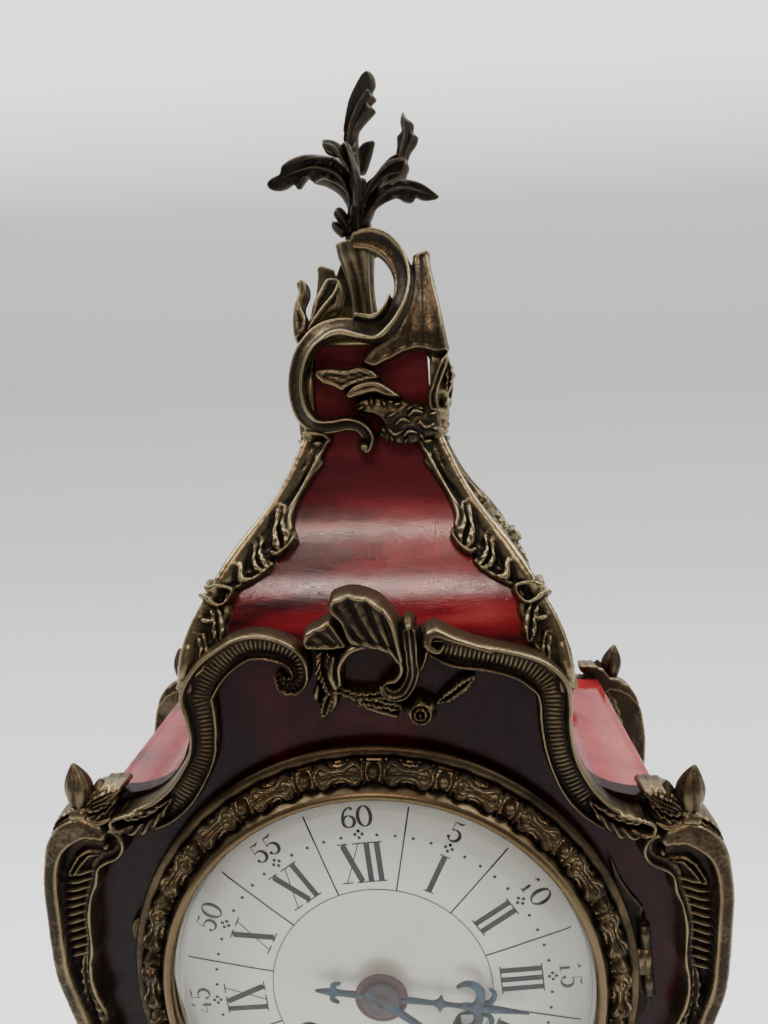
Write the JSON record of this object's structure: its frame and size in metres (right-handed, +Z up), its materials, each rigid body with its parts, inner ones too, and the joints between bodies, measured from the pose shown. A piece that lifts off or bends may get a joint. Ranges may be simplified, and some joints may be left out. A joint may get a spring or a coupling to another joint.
{
  "type": "mantel clock with hinged glazed bezel and two-train striking drum movement",
  "caption": "Small waisted mantel clock in the Louis XV style with red tortoiseshell veneer, dark bronze mounts, pagoda roof, leaf spray finial and an enamel dial",
  "frame": {"origin": "centre of the bounding box's footprint on the table plane under the four feet", "axes": "+X to the right seen from the front, +Y to the rear, +Z up; the dial faces -Y"},
  "size_m": [0.1486, 0.0869, 0.372],
  "materials": {
    "veneer_front": "polished dark red tortoiseshell with black clouds under lacquer",
    "veneer": "polished red tortoiseshell with dark clouds under lacquer",
    "veneer_dark": "polished dark red tortoiseshell",
    "bronze": "cast bronze with a dark olive patina, gold where it is rubbed",
    "bezel_bronze": "cast and turned bronze with a brown patina",
    "glass": "clear bevelled glass",
    "enamel": "fired off-white enamel on copper",
    "blued_steel": "blued steel",
    "steel": "ground steel",
    "bell_metal": "turned bell metal",
    "brass": "brushed brass"
  },
  "bodies": {
    "case": {"front_board": "veneer_front", "case_shell": "veneer", "back_board": "veneer_front", "roof": "veneer", "base_moulding": "veneer_dark", "finial_spray": "bronze", "crown": "bronze", "finial_rod": "steel", "roof_mount_fl": "bronze", "roof_mount_fr": "bronze", "roof_mount_rl": "bronze", "roof_mount_rr": "bronze", "arch_mount": "bronze", "rear_arch_mount": "bronze", "corner_mount_fl": "bronze", "corner_mount_fr": "bronze", "corner_mount_rl": "bronze", "corner_mount_rr": "bronze", "foot_fl": "bronze", "foot_fr": "bronze", "foot_rl": "bronze", "foot_rr": "bronze", "apron_mount": "bronze", "bezel_hinge": "bronze", "hinge_pins": "steel", "dial": "enamel", "dial_ring": "brass", "front_plate": "brass", "rear_plate": "brass", "back_cock": "brass", "bell": "bell_metal", "straps": "brass", "rear_ring": "brass"},
    "bezel": {"bezel_ring": "bezel_bronze", "bezel_ornament": "bezel_bronze", "bezel_glass": "glass", "glass_retainer": "brass"},
    "door": {"rear_door": "brass", "rear_door_glass": "glass"},
    "centre": {"centre_wheel": "brass", "minute_hand": "blued_steel"},
    "hour": {"hour_wheel": "brass", "hour_hand": "blued_steel"},
    "minute": {"minute_wheel": "brass"},
    "going_second": {"going_second_wheel": "brass"},
    "third": {"third_wheel": "brass"},
    "escape": {"escape_wheel": "brass"},
    "anchor": {"anchor": "steel"},
    "pendulum": {"pendulum": "brass"},
    "going_barrel": {"going_barrel": "brass"},
    "strike_barrel": {"strike_barrel": "brass"},
    "going_winder": {"going_winding_arbor": "steel"},
    "strike_winder": {"strike_winding_arbor": "steel"},
    "going_click": {"going_click": "steel"},
    "strike_click": {"strike_click": "steel"},
    "strike_second": {"strike_second_wheel": "brass"},
    "pins": {"pin_wheel": "brass"},
    "warning": {"warning_wheel": "brass"},
    "fly": {"fly": "brass"},
    "hammer": {"hammer": "steel"}
  },
  "joints": [
    {"name": "bezel_swing", "type": "hinge", "parent": "case", "child": "bezel", "pos_m": [0.05709, -0.03495, 0.178], "axis": [-0.1045, 0, 0.9945], "range_deg": [0, 95]},
    {"name": "door_swing", "type": "hinge", "parent": "case", "child": "door", "pos_m": [0.0524, 0.035, 0.172], "axis": [0, 0, -1], "range_deg": [0, 110]},
    {"name": "centre_turn", "type": "hinge", "parent": "case", "child": "centre", "pos_m": [0, 0, 0.172], "axis": [0, 1, 0], "continuous": true},
    {"name": "hour_turn", "type": "hinge", "parent": "case", "child": "hour", "pos_m": [0, -0.028, 0.172], "axis": [0, 1, 0], "continuous": true},
    {"name": "minute_wheel_turn", "type": "hinge", "parent": "case", "child": "minute", "pos_m": [-0.001, -0.026, 0.18155], "axis": [0, 1, 0], "continuous": true},
    {"name": "going_second_turn", "type": "hinge", "parent": "case", "child": "going_second", "pos_m": [0.00996, 0, 0.1803], "axis": [0, 1, 0], "continuous": true},
    {"name": "third_turn", "type": "hinge", "parent": "case", "child": "third", "pos_m": [-0.00696, 0, 0.18212], "axis": [0, 1, 0], "continuous": true},
    {"name": "escape_turn", "type": "hinge", "parent": "case", "child": "escape", "pos_m": [-0.00199, 0, 0.1909], "axis": [0, 1, 0], "continuous": true},
    {"name": "going_barrel_turn", "type": "hinge", "parent": "case", "child": "going_barrel", "pos_m": [0.01846, -0.01, 0.16389], "axis": [0, 1, 0], "continuous": true},
    {"name": "pin_turn", "type": "hinge", "parent": "case", "child": "pins", "pos_m": [-0.01855, 0, 0.18866], "axis": [0, 1, 0], "continuous": true},
    {"name": "strike_second_turn", "type": "hinge", "parent": "case", "child": "strike_second", "pos_m": [-0.01926, 0, 0.17848], "axis": [0, 1, 0], "continuous": true},
    {"name": "strike_barrel_turn", "type": "hinge", "parent": "case", "child": "strike_barrel", "pos_m": [-0.01637, -0.01, 0.16023], "axis": [0, 1, 0], "continuous": true},
    {"name": "warning_turn", "type": "hinge", "parent": "case", "child": "warning", "pos_m": [-0.01489, 0, 0.19688], "axis": [0, 1, 0], "continuous": true},
    {"name": "fly_turn", "type": "hinge", "parent": "case", "child": "fly", "pos_m": [-0.00934, 0, 0.19847], "axis": [0, 1, 0], "continuous": true},
    {"name": "pendulum_swing", "type": "hinge", "parent": "case", "child": "pendulum", "pos_m": [-0.00294, 0.0136, 0.19985], "axis": [0, 1, 0], "range_deg": [-3, 3]},
    {"name": "anchor_rock", "type": "hinge", "parent": "case", "child": "anchor", "pos_m": [-0.00294, 0, 0.19985], "axis": [0, 1, 0], "range_deg": [-3, 3]},
    {"name": "going_winding", "type": "hinge", "parent": "case", "child": "going_winder", "pos_m": [0.01846, -0.02, 0.16389], "axis": [0, 1, 0], "range_deg": [0, 1440]},
    {"name": "strike_winding", "type": "hinge", "parent": "case", "child": "strike_winder", "pos_m": [-0.01637, -0.02, 0.16023], "axis": [0, -1, 0], "range_deg": [0, 1440]},
    {"name": "going_click_lift", "type": "hinge", "parent": "case", "child": "going_click", "pos_m": [0.01986, -0.0258, 0.17449], "axis": [0, 1, 0], "range_deg": [0, 12], "stiffness_Nm_per_rad": 0.0005},
    {"name": "strike_click_lift", "type": "hinge", "parent": "case", "child": "strike_click", "pos_m": [-0.01995, -0.0258, 0.17031], "axis": [0, -1, 0], "range_deg": [0, 12], "stiffness_Nm_per_rad": 0.0005},
    {"name": "hammer_lift", "type": "hinge", "parent": "case", "child": "hammer", "pos_m": [-0.02931, 0, 0.183], "axis": [0, 1, 0], "range_deg": [0, 10], "stiffness_Nm_per_rad": 0.002}
  ],
  "couplings": [
    {"joint": "hour_turn", "follows": "centre_turn", "ratio": 0.083333},
    {"joint": "minute_wheel_turn", "follows": "centre_turn", "ratio": -0.33333},
    {"joint": "going_second_turn", "follows": "centre_turn", "ratio": -0.2},
    {"joint": "going_barrel_turn", "follows": "centre_turn", "ratio": 0.031579},
    {"joint": "third_turn", "follows": "centre_turn", "ratio": -12},
    {"joint": "escape_turn", "follows": "centre_turn", "ratio": 132},
    {"joint": "strike_second_turn", "follows": "pin_turn", "ratio": -0.13333},
    {"joint": "strike_barrel_turn", "follows": "pin_turn", "ratio": 0.021053},
    {"joint": "warning_turn", "follows": "pin_turn", "ratio": -8},
    {"joint": "fly_turn", "follows": "pin_turn", "ratio": 54.857},
    {"joint": "anchor_rock", "follows": "pendulum_swing", "ratio": 1}
  ]
}
